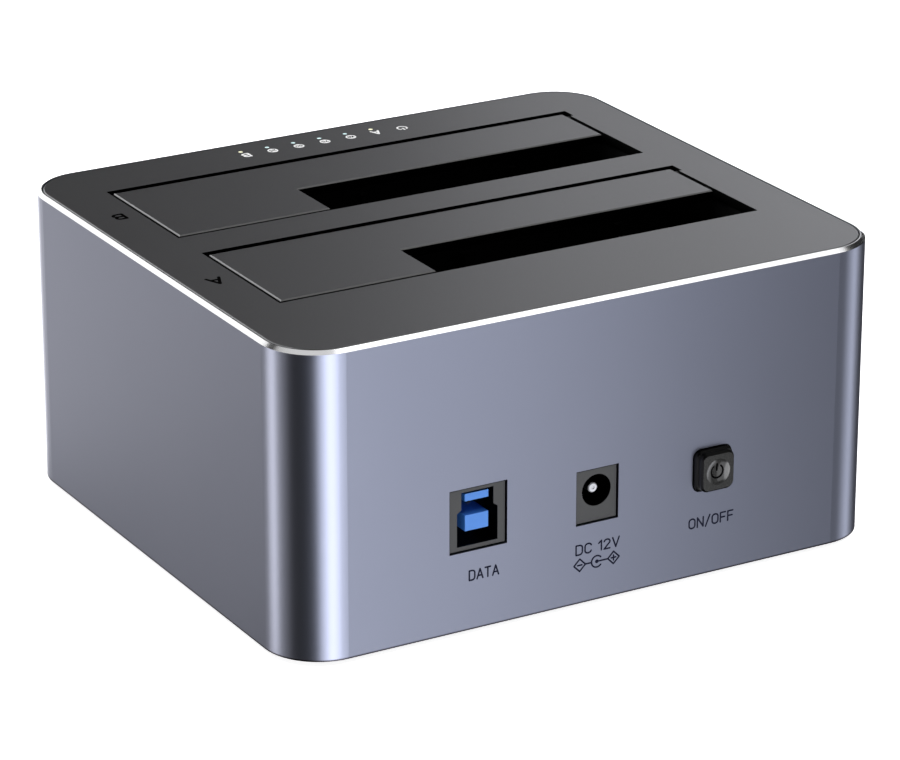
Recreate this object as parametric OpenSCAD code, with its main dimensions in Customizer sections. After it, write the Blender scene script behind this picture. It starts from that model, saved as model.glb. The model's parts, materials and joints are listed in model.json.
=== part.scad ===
// Upright dock for two bare hard drives, in millimetres, with +Z up.
// The origin is on the table, under the middle of the housing.
// The rear face with its ports looks along +Y, the front along -Y.

/* [Bays] */
// Length of a bay's opening, left to right
bay_l = 104; // [103:0.5:112]
// Width of a bay's opening, front to rear
bay_w = 31.4; // [30.6:0.1:36]
// Panel between the two bays
bay_web = 9.7; // [8:0.1:14]
// Length of the slot that stays open for a small drive
slot_l = 70.7; // [70.5:0.1:76]
// Width of that slot
slot_w = 14.5; // [10:0.1:16]
// Panel in front of the front bay
front_margin = 14.9; // [14:0.1:20]
// Panel behind the rear bay
rear_margin = 26.6; // [25:0.1:34]
// Panel beside the ends of the bays
side_margin = 12; // [11:0.1:16]
// Wall of a drive well
well_t = 1.6; // [1.2:0.1:2]
// Room between a bay's opening and the walls of its well
well_gap = 0.3; // [0.2:0.05:0.5]
// Floor of a drive well
well_floor_t = 1.8; // [1.4:0.1:2.4]

/* [Housing] */
// Height of the housing without its feet
housing_h = 60; // [58:0.5:72]
// Radius of the upright corners
corner_r = 11.2; // [9:0.1:13]
// Thickness of the aluminium wall
wall_t = 1.8; // [1.5:0.1:2.2]
// Wall that stays outside the panel and the base
rim_t = 1.05; // [0.95:0.05:1.25]
// How far in the bright top edge is cut
edge_in = 0.8; // [0.4:0.05:0.9]
// How far down the bright top edge is cut
edge_down = 0.65; // [0.3:0.05:1]

/* [Panel and base] */
// Thickness of the top panel
panel_t = 2; // [1.8:0.1:2.3]
// Bevel round the top panel
panel_bevel = 0.25; // [0.1:0.05:0.4]
// Thickness of the skirts that centre the panel and the base
skirt_t = 1.4; // [1:0.1:1.8]
// Height of those skirts
skirt_h = 5; // [3:0.5:7]
// Thickness of the base cover
base_t = 2; // [1.8:0.1:3]
// Radius of a foot
foot_r = 6.5; // [5:0.5:9]
// How far the feet stand below the housing
foot_drop = 1; // [0.8:0.1:2]
// How deep the feet sit in the base
foot_recess = 0.8; // [0.5:0.1:1]

/* [Flaps] */
// Thickness of a flap
flap_t = 2; // [1.8:0.1:2.3]
// Radius of the round front edge that turns on the pin
barrel_r = 1.8; // [1.7:0.05:2]
// Radius of a hinge pin
pin_r = 0.75; // [0.6:0.05:0.8]
// Gap in front of a flap
hinge_gap = 0.3; // [0.2:0.05:0.5]
// Gap at each end of a flap
flap_end_gap = 0.8; // [0.4:0.1:0.9]
// Gap behind a flap
flap_rear_gap = 1.1; // [0.8:0.05:1.4]
// Bevel along the edges of a flap
flap_bevel = 0.25; // [0.2:0.05:0.6]
// How far a flap swings down, in degrees
flap_swing = 88; // [80:1:89]

/* [Springs] */
// Diameter of the spring wire
wire_d = 0.4; // [0.3:0.02:0.42]
// Radius of a flap spring's curls
flap_coil_r = 1.1; // [1.05:0.01:1.15]
// Curls of a flap spring
flap_curls = 6; // [4:1:8]
// Advance of a flap spring from curl to curl
flap_pitch = 0.9; // [0.85:0.05:1.1]
// Legs of a flap spring
flap_leg_l = 9; // [6:0.5:11]
// Curls of the switch spring
switch_curls = 4; // [3:1:4]
// Radius of the switch spring's curls
switch_coil_r = 2.5; // [2.4:0.05:2.6]

/* [Board and sockets] */
// Top of the main board above the housing's lower edge
board_rise = 16; // [14:0.1:18]
// Thickness of the main board
board_t = 1.6; // [1:0.1:2]
// Length of a drive socket
socket_l = 40.6; // [38:0.2:44]
// Width of a drive socket
socket_w = 6.2; // [5.8:0.1:7]
// Height of a drive socket
socket_h = 9.2; // [8.4:0.1:11]
// How far a drive socket stands above the floor of its well
socket_proud = 2; // [1:0.1:3]
// From a bay's rear edge to the middle of its socket
socket_inset = 5; // [4.6:0.1:7]

/* [Ports] */
// How far the port faces lie behind the housing's face
port_inset = 0.4; // [0.2:0.05:1.6]
// Gap between a port and its cut-out
port_gap = 0.3; // [0.1:0.05:0.5]
// Place of the data port, from the middle
usb_x = 25.7; // [16:0.1:32]
// Width of the data port
usb_w = 11.6; // [11.2:0.1:12.6]
// Height of the data port
usb_h = 12; // [11.8:0.1:13.4]
// Depth of the data port
usb_depth = 18; // [16:0.5:20]
// Place of the power inlet, from the middle
jack_x = 0.2; // [-8:0.2:8]
// Width of the power inlet
jack_w = 8.6; // [8.5:0.1:10]
// Height of the power inlet
jack_h = 10.3; // [10.3:0.1:12]
// Depth of the power inlet
jack_depth = 14.2; // [13:0.1:16]
// Radius of the hole that takes the plug
jack_bore_r = 3.15; // [3:0.05:3.3]
// Radius of the centre pin
jack_pin_r = 1; // [0.8:0.05:1.25]

/* [Buttons] */
// Place of the power button, from the middle
switch_x = -25.1; // [-32:0.1:-16]
// Place of the copy button, from the middle
clone_x = 0; // [-20:0.5:20]
// Width of a button's foot
cap_w = 8.2; // [8:0.1:9]
// Width of a button's raised face
cap_face_w = 7.3; // [6.4:0.1:7.7]
// Height of a button's raised face
cap_face_h = 7.7; // [6.4:0.1:7.7]
// Corner radius of a button
cap_corner_r = 1.5; // [1.2:0.1:2]
// How far a button stands proud of the housing
cap_h = 2.2; // [1.8:0.1:3]
// How far its foot stands proud of the housing
cap_step_h = 0.9; // [0.5:0.1:1.2]
// Gap round a button
cap_gap = 0.25; // [0.2:0.05:0.4]
// Hollow in a button's face
dimple_r = 2.6; // [2:0.1:3]
// Depth of that hollow
dimple_depth = 0.6; // [0.2:0.05:0.6]
// Travel of the power button
power_travel = 1.8; // [1:0.1:2]
// Travel of the copy button
clone_travel = 0.5; // [0.3:0.1:0.7]

/* [Lamps] */
// Distance from lamp to lamp
lamp_pitch = 5.95; // [5:0.05:6.4]
// Place of the first lamp, from the middle
lamp_x = 17.8; // [14:0.2:19]
// From the front face to the lamps
lamp_inset = 5.7; // [5.6:0.1:7]
// Radius of a light guide
guide_r = 0.45; // [0.4:0.05:0.8]

/* [Hidden] */
$fn = 48;

// Bay numbers, counted from the rear
REAR = 0;
FRONT = 1;

// Clearances: between fixed pieces, round a pin, round a screw
fit_gap = 0.1;
run_gap = 0.05;
screw_gap = 0.02;

// Overall sizes and levels
housing_w = bay_l + 2*side_margin;
housing_d = front_margin + 2*bay_w + bay_web + rear_margin;
rear_y = housing_d/2;
z_bottom = foot_drop;
z_top = z_bottom + housing_h;
z_panel = z_top - panel_t;
z_base = z_bottom + base_t;
z_board = z_bottom + board_rise;
z_floor = z_board + socket_h - socket_proud;
skirt_inset = wall_t + 2*fit_gap;
skirt_end = corner_r + 2;

// Hinge of a flap, with the flap's edges measured from the pin
hinge_z = z_top - barrel_r;
flap_half = bay_l/2 - flap_end_gap;
flap_under = barrel_r - flap_t;
flap_rear = bay_w - hinge_gap - barrel_r - flap_rear_gap;
slot_edge = bay_w - hinge_gap - barrel_r - slot_w;
slot_x = slot_l - bay_l/2;

// Ears that hold the pin, and the stops at the ends of a flap
ear_side = 0.3;
ear_t = 1.05;
ear_r = 1.2;
ear_root = 2;
ear_gap = 0.15;
ear_out = flap_half + ear_side + ear_t;
stop_from = 4;
stop_l = 2;
stop_t = 1.6;
stop_gap = 0.15;
stop_root = 2;
stop_reach = 0.9;
stop_room = 0.4;
stop_z = barrel_r - panel_t - stop_gap;
stop_far = norm([stop_from + stop_l, stop_t - stop_z]);

// Ribs in a well on which an open flap comes to lie
rest_x = [-40, -5, 46];
rest_t = 2;
rest_from = 8;
rest_to = 14;
rest_gap = 0.25;
rest_y = rest_from*cos(flap_swing) + flap_under*sin(flap_swing) - rest_gap;

// Flap spring and the pocket for it
wire_r = wire_d/2;
spring_x = 30;
spring_clear = 0.05;
spring_l = flap_pitch*(flap_curls + 3/8);
pocket_top = flap_coil_r + wire_r + spring_clear;
pocket_side = 1;
leg_z = flap_under - wire_r - spring_clear;
leg_bend_y = flap_coil_r*sqrt(2) - leg_z;
pocket_rear = leg_bend_y + 0.5;
pad_w = 2;
pad_from = 3;

// Ribs and ledges of a well, and the lugs that hang it from the panel
well_half = bay_l/2 + well_gap;
well_rib_x = [-35, 0, 35];
well_rib_t = 1.4;
well_rib_d = 1.2;
well_rib_drop = 12;
ledge_l = 8;
ledge_h = 1.2;
lug_y = 10;
lug_r = 2.8;
lug_t = 2;
lug_reach = 3.1;
lug_x = well_half + well_t + lug_reach;
boss_r = 2.5;
boss_h = 6;

// Long bolts in the corners: bosses of the base and the panel, with a channel of the housing between them
base_boss_r = 4.2;
base_boss_h = 8;
base_boss_room = 0.5;
panel_boss_r = 3;
panel_boss_h = 8;
channel_r = 3.2;
channel_web = 2;
channel_l = housing_h - panel_t - base_boss_h - panel_boss_h - 2*fit_gap;
head_room = 0.4;
head_depth = 3;
bolt_tip = 1;
corner_in = corner_r - (corner_r - wall_t - base_boss_room - base_boss_r)/sqrt(2);
corner_x = housing_w/2 - corner_in;
corner_y = housing_d/2 - corner_in;

// Screws: shank radius, shank length, head radius, head height
base_screw = [1.5, housing_h - panel_t - head_depth - bolt_tip, 2.8, 2];
board_screw = [1.25, 8, 2.4, 1.6];
small_screw = [1, 6, 1.9, 1.4];
cross_w = 0.7;
cross_depth = 0.9;
cross_share = 0.6;

// Feet and ribs of the base
foot_in_x = 18;
foot_in_y = 17;
foot_x = housing_w/2 - foot_in_x;
foot_y = housing_d/2 - foot_in_y;
foot_taper = 0.6;
base_rib_t = 1.2;
base_rib_h = 3;
base_rib_x = 25;
base_rib_y = 22;

// Main board and its stand-offs
board_in_x = 14;
board_gap_front = 2.7;
board_gap_rear = 0.3;
board_half = housing_w/2 - board_in_x;
board_front = wall_t + board_gap_front - rear_y;
board_rear = rear_y - wall_t - board_gap_rear;
standoff_r = 3;
standoff_in = [4, 5.5, 7.9];
standoff_x = board_half - standoff_in[0];
standoff_y = [board_front + standoff_in[1], board_rear - standoff_in[2]];

// Drive sockets: two L-shaped slots with their contacts
socket_shift = 4.85;
socket_x = slot_l/2 - bay_l/2 - socket_shift;
contact_pitch = 1.27;
contact_w = 0.8;
contact_t = 0.35;
contact_h = 6;
blade_w = 1.9;
blade_depth = 6.6;
blade_foot = 1.5;
blade_wall = 1.35;
signal_l = 10.6;
signal_n = 7;
power_l = 20.8;
power_n = 15;
blade_land = 2;
blades_l = signal_l + blade_land + power_l;

// Data port: the keyed opening and the blue insert
key_depth = 12;
key_low = 0.75;
key_wide = 8.6;
key_wide_h = 6.65;
key_narrow = 6.8;
key_shoulder = 0.6;
key_h = 10.65;
insert_t = 2.5;
insert_inset = 0.3;
tongue_w = 4.9;
tongue_z = 2.8;
tongue_h = 3.1;
block_w = 4.95;
block_h = 1.45;
block_z = 8.7;
pad_t = 0.15;
pad_l = 3.8;
pad_back = 5;

// Power inlet
jack_axis_h = 6.05;
jack_bore_l = 9.5;
jack_face_t = 3.4;
jack_round_r = 4.2;
jack_pin_back = 1.2;
jack_pin_bevel = 0.2;
jack_pin_dot_r = 0.3;
jack_pin_dot_depth = 0.15;
leaf_w = 2;
leaf_t = 0.3;
leaf_l = 6;

// Buttons and switches
flange_w = 10;
flange_t = 1;
flange_gap = 0.3;
cap_bevel = 0.35;
stem_w = 5.8;
stem_l = 3.4;
plunger_w = 3;
plunger_in = 5;
plunger_gap = 0.1;
switch_size = [8.5, 13, 10];
switch_axis_h = 5.4;
switch_well = 8;
switch_spring_l = 4;
stem_end = rear_y - wall_t - flange_gap - flange_t - stem_l;
switch_front = stem_end - switch_spring_l;
tact_size = [6, 3.5, 6.4];
tact_axis_h = 3.3;
tact_stem_r = 1.75;
tact_stem_in = 1.2;
tact_gap = 0.1;
tact_room = 0.8;
clone_flange = -rear_y + wall_t + flange_gap + flange_t;
tact_front = clone_flange + clone_travel + tact_room;

// Lamps, light guides, and the ribbon down to the main board
lamp_n = 6;
lamp_y = lamp_inset - rear_y;
lamp_chip = [1.6, 0.8, 0.7];
lamp_board_size = [64, 6.8, 1];
lamp_board_end = 16.2;
lamp_board_x = lamp_x + lamp_board_end - lamp_board_size.x/2;
lamp_board_drop = 7;
lamp_board_y = lamp_y + 1.4;
z_lamp_board = z_panel - lamp_board_drop;
lamp_boss_r = 2.2;
lamp_boss_in = 3;
guide_gap = 0.05;
guide_room = 0.3;
collar_r = 1.1;
collar_h = 1.5;
ribbon_end = 5;
ribbon_room = 6.5;
ribbon_x = lamp_x + lamp_board_end - ribbon_end;
lamp_boss_x = [lamp_board_x - lamp_board_size.x/2 + lamp_boss_in, ribbon_x - ribbon_room];
ribbon_y = lamp_y + 1.5;
ribbon_w = 6.5;
ribbon_t = 0.3;
ribbon_in = 2;
ribbon_bow = 2;
ribbon_steps = 16;
ribbon_socket = [9, 3.4, 4];
ribbon_low = z_board + ribbon_socket.z - ribbon_in;
ribbon_high = z_lamp_board - lamp_board_size.z - ribbon_socket.z + ribbon_in;

// Parts on the main board, some of them placed from its rear edge
chip_size = [10, 10, 1.4];
chip_at = [14, -4];
crystal_size = [11, 4.6, 3.5];
crystal_at = [28, -4];
coil_size = [6.5, 6.5, 3];
coil_at = [[13, board_rear - 12.9], [13, board_rear - 20.4]];
coil_bevel = 1;
can_r = 3.15;
can_h = 7.7;
can_foot_h = 1;
can_at = [[-12, board_rear - 8.9], [-12, board_rear - 16.4], [39, board_rear - 14.9]];

function bay_rear_y(bay) = rear_y - rear_margin - bay*(bay_w + bay_web);
function bay_front_y(bay) = bay_rear_y(bay) - bay_w;
function bay_mid_y(bay) = bay_rear_y(bay) - bay_w/2;
function hinge_y(bay) = bay_front_y(bay) + hinge_gap + barrel_r;
function lamp_at(i) = lamp_x - i*lamp_pitch;

// Outlines and slabs

module round_rect(w, d, r) {
    square([w - 2*r, d], center = true);
    square([w, d - 2*r], center = true);
    for (x = [-1, 1], y = [-1, 1])
        translate([x*(w/2 - r), y*(d/2 - r)])
            circle(r);
}

module round_slab(w, d, r, h) {
    linear_extrude(h)
        round_rect(w, d, r);
}

// A slab whose edge leans in all round by the same amount
module bevel_slab(w, d, r, h, in) {
    rotate([90, 0, 0])
        linear_extrude(d - 2*r, center = true)
            polygon([[-w/2, 0], [w/2, 0], [w/2 - in, h], [in - w/2, h]]);
    rotate([90, 0, 90])
        linear_extrude(w - 2*r, center = true)
            polygon([[-d/2, 0], [d/2, 0], [d/2 - in, h], [in - d/2, h]]);
    for (x = [-1, 1], y = [-1, 1])
        translate([x*(w/2 - r), y*(d/2 - r), 0])
            cylinder(h = h, r1 = r, r2 = r - in);
}

// A slab with the housing's outline, drawn in all round
module inset_slab(in, h) {
    round_slab(housing_w - 2*in, housing_d - 2*in, corner_r - in, h);
}

// Four straight walls that stand just inside the housing
module skirts(h) {
    for (side = [-1, 1]) {
        translate([side*(housing_w/2 - skirt_inset - skirt_t/2), 0, h/2])
            cube([skirt_t, housing_d - 2*skirt_end, h], center = true);
        translate([0, side*(housing_d/2 - skirt_inset - skirt_t/2), h/2])
            cube([housing_w - 2*skirt_end, skirt_t, h], center = true);
    }
}

module at_corners() {
    for (x = [-1, 1], y = [-1, 1])
        translate([x*corner_x, y*corner_y, 0])
            rotate([0, 0, atan2(y, x)])
                children();
}

module at_standoffs() {
    for (x = [-standoff_x, standoff_x], y = standoff_y)
        translate([x, y, 0])
            children();
}

module at_lugs(bay) {
    for (x = [-lug_x, lug_x], y = [-lug_y, lug_y])
        translate([x, bay_mid_y(bay) + y, 0])
            children();
}

module at_lamps(numbers) {
    for (i = numbers)
        translate([lamp_at(i), lamp_y, 0])
            children();
}

// A screw that stands on its head, with a cross recess below
module screw(kind) {
    difference() {
        union() {
            translate([0, 0, -kind[3]/2])
                cylinder(h = kind[1] + kind[3]/2, r = kind[0]);
            translate([0, 0, -kind[3]])
                cylinder(h = kind[3], r1 = kind[2] - kind[3]/4, r2 = kind[2]);
        }
        for (turn = [0, 90])
            translate([0, 0, -kind[3]])
                rotate([0, 0, turn])
                    cube([2*cross_share*kind[2], cross_w, 2*cross_depth], center = true);
    }
}

// Wire springs: a tube of six sides along a path

wire_sides = 6;
curl_steps = 8;

function unit(v) = v/norm(v);

function ring(at, along, axis) =
    let (across = unit(cross(along, axis)), up = cross(across, along))
    [for (k = [0:wire_sides - 1])
        at + wire_r*(cos(360*k/wire_sides)*across + sin(360*k/wire_sides)*up)];

function tube_points(path, axis) =
    let (last = len(path) - 1)
    [for (i = [0:last])
        each ring(path[i], unit(path[min(i + 1, last)] - path[max(i - 1, 0)]), axis)];

function tube_faces(rings) = concat(
    [for (i = [0:rings - 2], k = [0:wire_sides - 1])
        let (a = i*wire_sides + k, b = i*wire_sides + (k + 1) % wire_sides)
        each [[a, b, a + wire_sides], [b, b + wire_sides, a + wire_sides]]],
    [for (k = [1:wire_sides - 2]) [0, k + 1, k]],
    [for (k = [1:wire_sides - 2]) (rings - 1)*wire_sides*[1, 1, 1] + [0, k, k + 1]]
);

function least_gap(path) =
    min([for (i = [0:len(path) - 1], j = [i + curl_steps/2:1:len(path) - 1])
        norm(path[i] - path[j])]) - wire_d;

module wire_tube(path, axis) {
    polyhedron(tube_points(path, axis), tube_faces(len(path)));
}

// One leg hangs in front of the pin, the other lies under the flap
function flap_spring_path() =
    let (last = curl_steps*flap_curls + 3, end_x = spring_x + spring_l)
    concat(
        [[spring_x, -flap_coil_r, -flap_leg_l], [spring_x, -flap_coil_r, -flap_leg_l/2]],
        [for (k = [0:last])
            let (a = 180 - 360*k/curl_steps)
            [spring_x + flap_pitch*k/curl_steps, flap_coil_r*cos(a), flap_coil_r*sin(a)]],
        [[end_x, leg_bend_y, leg_z], [end_x, flap_leg_l, leg_z]]
    );

function switch_spring_path() =
    let (
        last = curl_steps*switch_curls,
        low = switch_front + wire_r + spring_clear,
        rise = switch_spring_l - wire_d - 2*spring_clear
    )
    [for (k = [0:last])
        let (a = 360*k/curl_steps)
        [switch_coil_r*cos(a), low + rise*k/last, switch_coil_r*sin(a)]];

// Housing, panel, base

module housing() {
    color("slategray")
        difference() {
            translate([0, 0, z_bottom]) {
                inset_slab(0, housing_h - edge_down);
                translate([0, 0, housing_h - edge_down])
                    bevel_slab(housing_w, housing_d, corner_r, edge_down, edge_in);
            }
            translate([0, 0, z_bottom - 1])
                inset_slab(wall_t, housing_h + 2);
            translate([0, 0, z_panel])
                inset_slab(rim_t, panel_t + 1);
            translate([0, 0, z_bottom - 1])
                inset_slab(rim_t, base_t + 1);
            port_cut(usb_x, usb_w, usb_h);
            port_cut(jack_x, jack_w, jack_h);
            button_cut(switch_x, rear_y, z_board + switch_axis_h);
            button_cut(clone_x, -rear_y, z_board + tact_axis_h);
        }
    color("slategray")
        at_corners()
            translate([0, 0, z_bottom + base_boss_h + fit_gap])
                bolt_channel();
}

// A tube for a long bolt, joined to the corner's wall by a web
module bolt_channel() {
    web_l = base_boss_room + base_boss_r + wall_t/2;
    difference() {
        union() {
            cylinder(h = channel_l, r = channel_r);
            translate([0, -channel_web/2, 0])
                cube([web_l, channel_web, channel_l]);
        }
        translate([0, 0, -1])
            cylinder(h = channel_l + 2, r = base_screw[0] + fit_gap);
    }
}

module port_cut(x, w, h) {
    translate([x - w/2 - port_gap, rear_y - 2*wall_t, z_board - port_gap])
        cube([w + 2*port_gap, 4*wall_t, h + 2*port_gap]);
}

module button_cut(x, y, z) {
    side = cap_w + 2*cap_gap;
    translate([x, y + 2*wall_t, z])
        rotate([90, 0, 0])
            round_slab(side, side, cap_corner_r + cap_gap, 4*wall_t);
}

module top_panel() {
    edge = rim_t + fit_gap;
    let_in = panel_t/2;
    color("dimgray")
        difference() {
            union() {
                translate([0, 0, z_panel]) {
                    inset_slab(edge, panel_t - panel_bevel);
                    translate([0, 0, panel_t - panel_bevel])
                        bevel_slab(housing_w - 2*edge, housing_d - 2*edge, corner_r - edge,
                                   panel_bevel, panel_bevel);
                }
                translate([0, 0, z_panel - skirt_h])
                    skirts(skirt_h + let_in);
                at_corners()
                    translate([0, 0, z_panel - panel_boss_h])
                        cylinder(h = panel_boss_h + let_in, r = panel_boss_r);
                for (bay = [REAR, FRONT])
                    at_lugs(bay)
                        translate([0, 0, z_panel - boss_h])
                            cylinder(h = boss_h + let_in, r = boss_r);
                for (x = lamp_boss_x)
                    translate([x, lamp_board_y, z_lamp_board])
                        cylinder(h = lamp_board_drop + let_in, r = lamp_boss_r);
            }
            for (bay = [REAR, FRONT])
                bay_cut(bay);
            at_lamps([0:lamp_n - 1])
                translate([0, 0, z_panel - 1])
                    cylinder(h = panel_t + 2, r = guide_r + guide_gap);
            at_corners()
                translate([0, 0, z_panel - panel_boss_h - 1])
                    cylinder(h = panel_boss_h + 1, r = base_screw[0] + screw_gap);
            for (bay = [REAR, FRONT])
                at_lugs(bay)
                    translate([0, 0, z_panel - boss_h - 1])
                        cylinder(h = boss_h, r = small_screw[0] + screw_gap);
            for (x = lamp_boss_x)
                translate([x, lamp_board_y, z_lamp_board - 1])
                    cylinder(h = lamp_board_drop, r = small_screw[0] + screw_gap);
        }
}

// A bay's opening, with a notch for the pin's ear at one end and a pocket under the deck at the other
module bay_cut(bay) {
    notch = [ear_out + ear_gap, hinge_gap + barrel_r + ear_r + ear_gap, panel_t + 2];
    pocket_h = hinge_z + ear_r + ear_gap - z_panel + 1;
    translate([-bay_l/2, bay_front_y(bay), z_panel - 1])
        cube([bay_l, bay_w, panel_t + 2]);
    translate([0, bay_front_y(bay), z_panel - 1]) {
        translate([-notch.x, 0, 0])
            cube(notch);
        cube([notch.x, notch.y, pocket_h]);
    }
}

module base_cover() {
    color("black")
        difference() {
            union() {
                translate([0, 0, z_bottom])
                    inset_slab(rim_t + fit_gap, base_t);
                translate([0, 0, z_bottom])
                    skirts(base_t + base_rib_h);
                for (x = [-base_rib_x, base_rib_x])
                    translate([x - base_rib_t/2, skirt_inset - rear_y, z_bottom])
                        cube([base_rib_t, housing_d - 2*skirt_inset, base_t + base_rib_h]);
                for (y = [-base_rib_y, base_rib_y])
                    translate([skirt_inset - housing_w/2, y - base_rib_t/2, z_bottom])
                        cube([housing_w - 2*skirt_inset, base_rib_t, base_t + base_rib_h]);
                at_standoffs()
                    translate([0, 0, z_bottom])
                        cylinder(h = board_rise - board_t, r = standoff_r);
                at_corners()
                    translate([0, 0, z_bottom])
                        cylinder(h = base_boss_h, r = base_boss_r);
            }
            at_standoffs()
                translate([0, 0, z_board - board_t - board_screw[1]])
                    cylinder(h = board_screw[1] + 1, r = board_screw[0] + screw_gap);
            at_corners()
                translate([0, 0, z_bottom - 1]) {
                    cylinder(h = base_boss_h + 2, r = base_screw[0] + fit_gap);
                    cylinder(h = head_depth + 1, r = base_screw[2] + head_room);
                }
            for (x = [-foot_x, foot_x], y = [-foot_y, foot_y])
                translate([x, y, z_bottom - 1])
                    cylinder(h = foot_recess + 1, r = foot_r + fit_gap);
        }
}

module feet() {
    color("darkslategray")
        for (x = [-foot_x, foot_x], y = [-foot_y, foot_y])
            translate([x, y, 0])
                cylinder(h = foot_drop + foot_recess, r1 = foot_r - foot_taper, r2 = foot_r);
}

// Flaps with their pins and springs

module at_hinge(bay) {
    translate([0, hinge_y(bay), hinge_z])
        children();
}

module along_x(r, l) {
    rotate([0, 90, 0])
        cylinder(h = l, r = r, center = true);
}

// A plate from the pin to its rear edge, bevelled on top at the rear and both ends
module bevel_plate(from, to, rear) {
    low = barrel_r - flap_bevel;
    intersection() {
        translate([from, 0, 0])
            rotate([90, 0, 90])
                linear_extrude(to - from)
                    polygon([
                        [0, flap_under], [rear, flap_under], [rear, low],
                        [rear - flap_bevel, barrel_r], [0, barrel_r]
                    ]);
        translate([0, rear, 0])
            rotate([90, 0, 0])
                linear_extrude(rear)
                    polygon([
                        [from, flap_under], [to, flap_under], [to, low],
                        [to - flap_bevel, barrel_r], [from + flap_bevel, barrel_r], [from, low]
                    ]);
    }
}

// A narrow arm beside the open slot, and a foot that fills the rest of the bay
module flap_plate() {
    bevel_plate(-flap_half, slot_x + 3*flap_bevel, slot_edge);
    bevel_plate(slot_x, flap_half, flap_rear);
}

module flap_barrel() {
    straight = flap_half - flap_bevel;
    along_x(barrel_r, 2*straight);
    for (side = [-1, 1])
        translate([side*straight, 0, 0])
            rotate([0, side*90, 0])
                cylinder(h = flap_bevel, r1 = barrel_r, r2 = barrel_r - flap_bevel);
}

// A lug under the end of a flap that meets the panel from below
module flap_stop() {
    translate([flap_half - stop_root, stop_from, stop_z - stop_t]) {
        cube([stop_root, stop_l, stop_t + flap_under - stop_z + flap_bevel]);
        cube([stop_root + flap_end_gap + well_gap + stop_reach, stop_l, stop_t]);
    }
}

module flap(bay) {
    at_hinge(bay)
        difference() {
            union() {
                flap_plate();
                flap_barrel();
                flap_stop();
                mirror([1, 0, 0])
                    flap_stop();
            }
            along_x(pin_r + run_gap, bay_l);
            spring_pocket();
        }
}

// Room for the spring under a thin skin that keeps the barrel round
module spring_pocket() {
    pocket_l = spring_l + 2*pocket_side;
    translate([spring_x - pocket_side, 0, 0]) {
        rotate([0, 90, 0])
            cylinder(h = pocket_l, r = pocket_top);
        translate([0, -2*barrel_r, -2*barrel_r])
            cube([pocket_l, 2*barrel_r + pocket_rear, 2*barrel_r]);
        translate([0, 0, -barrel_r])
            cube([pocket_l, pocket_rear, barrel_r + pocket_top]);
    }
}

module flap_pin(bay) {
    at_hinge(bay)
        along_x(pin_r, 2*ear_out);
}

module flap_spring(bay) {
    echo(flap_spring_least_gap = least_gap(flap_spring_path()));
    at_hinge(bay)
        wire_tube(flap_spring_path(), [1, 0, 0]);
}

module front_flap() {
    color("dimgray")
        flap(FRONT);
}

module rear_flap() {
    color("dimgray")
        flap(REAR);
}

module front_flap_pin() {
    color("silver")
        flap_pin(FRONT);
}

module rear_flap_pin() {
    color("silver")
        flap_pin(REAR);
}

module front_flap_spring() {
    color("silver")
        flap_spring(FRONT);
}

module rear_flap_spring() {
    color("silver")
        flap_spring(REAR);
}

// Drive wells

module drive_well(bay) {
    difference() {
        union() {
            well_box(bay);
            for (side = [0, 1])
                mirror([side, 0, 0])
                    hinge_ear(bay);
        }
        socket_hole(bay);
        for (side = [0, 1])
            mirror([side, 0, 0])
                stop_window(bay);
        at_hinge(bay)
            along_x(pin_r + run_gap, 2*housing_w);
        at_lugs(bay)
            translate([0, 0, z_panel - boss_h - lug_t - 1])
                cylinder(h = lug_t + 2, r = small_screw[0] + fit_gap);
    }
    well_inside(bay);
}

module well_box(bay) {
    front = bay_front_y(bay) - well_gap;
    deep = bay_w + 2*well_gap;
    low = z_floor - well_floor_t;
    difference() {
        union() {
            translate([-well_half - well_t, front - well_t, low])
                cube([2*(well_half + well_t), deep + 2*well_t, z_panel - low]);
            for (x = well_rib_x)
                translate([x - well_rib_t/2, front - well_t - well_rib_d, low])
                    cube([well_rib_t, deep + 2*(well_t + well_rib_d), z_panel - well_rib_drop - low]);
            for (side = [0, 1])
                mirror([side, 0, 0])
                    well_lugs(bay);
        }
        translate([-well_half, front, z_floor])
            cube([2*well_half, deep, housing_h]);
    }
}

module hinge_ear(bay) {
    translate([ear_out - ear_t, hinge_y(bay) - ear_r, z_panel - ear_root])
        cube([ear_t, 2*ear_r, hinge_z - z_panel + ear_root]);
    translate([ear_out - ear_t, hinge_y(bay), hinge_z])
        rotate([0, 90, 0])
            cylinder(h = ear_t, r = ear_r);
}

module well_lugs(bay) {
    for (y = [-lug_y, lug_y])
        translate([lug_x, bay_mid_y(bay) + y, z_panel - boss_h - lug_t]) {
            cylinder(h = lug_t, r = lug_r);
            translate([-lug_reach - well_t/2, -lug_r, 0])
                cube([lug_reach + well_t/2, 2*lug_r, lug_t]);
        }
}

module socket_hole(bay) {
    translate([socket_x, bay_rear_y(bay) - socket_inset, z_floor])
        cube([socket_l + 4*fit_gap, socket_w + 4*fit_gap, 3*well_floor_t], center = true);
}

// The arc that a flap's stop sweeps, cut out of the end wall
module stop_window(bay) {
    translate([well_half - 1, hinge_y(bay), hinge_z])
        intersection() {
            rotate([0, 90, 0])
                difference() {
                    cylinder(h = well_t + 2, r = stop_far + stop_room);
                    cylinder(h = 3*well_t + 6, r = stop_from - stop_room, center = true);
                }
            translate([0, -hinge_gap - barrel_r, -2*stop_far])
                cube([well_t + 2, 3*stop_far, 2*stop_far]);
        }
}

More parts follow.
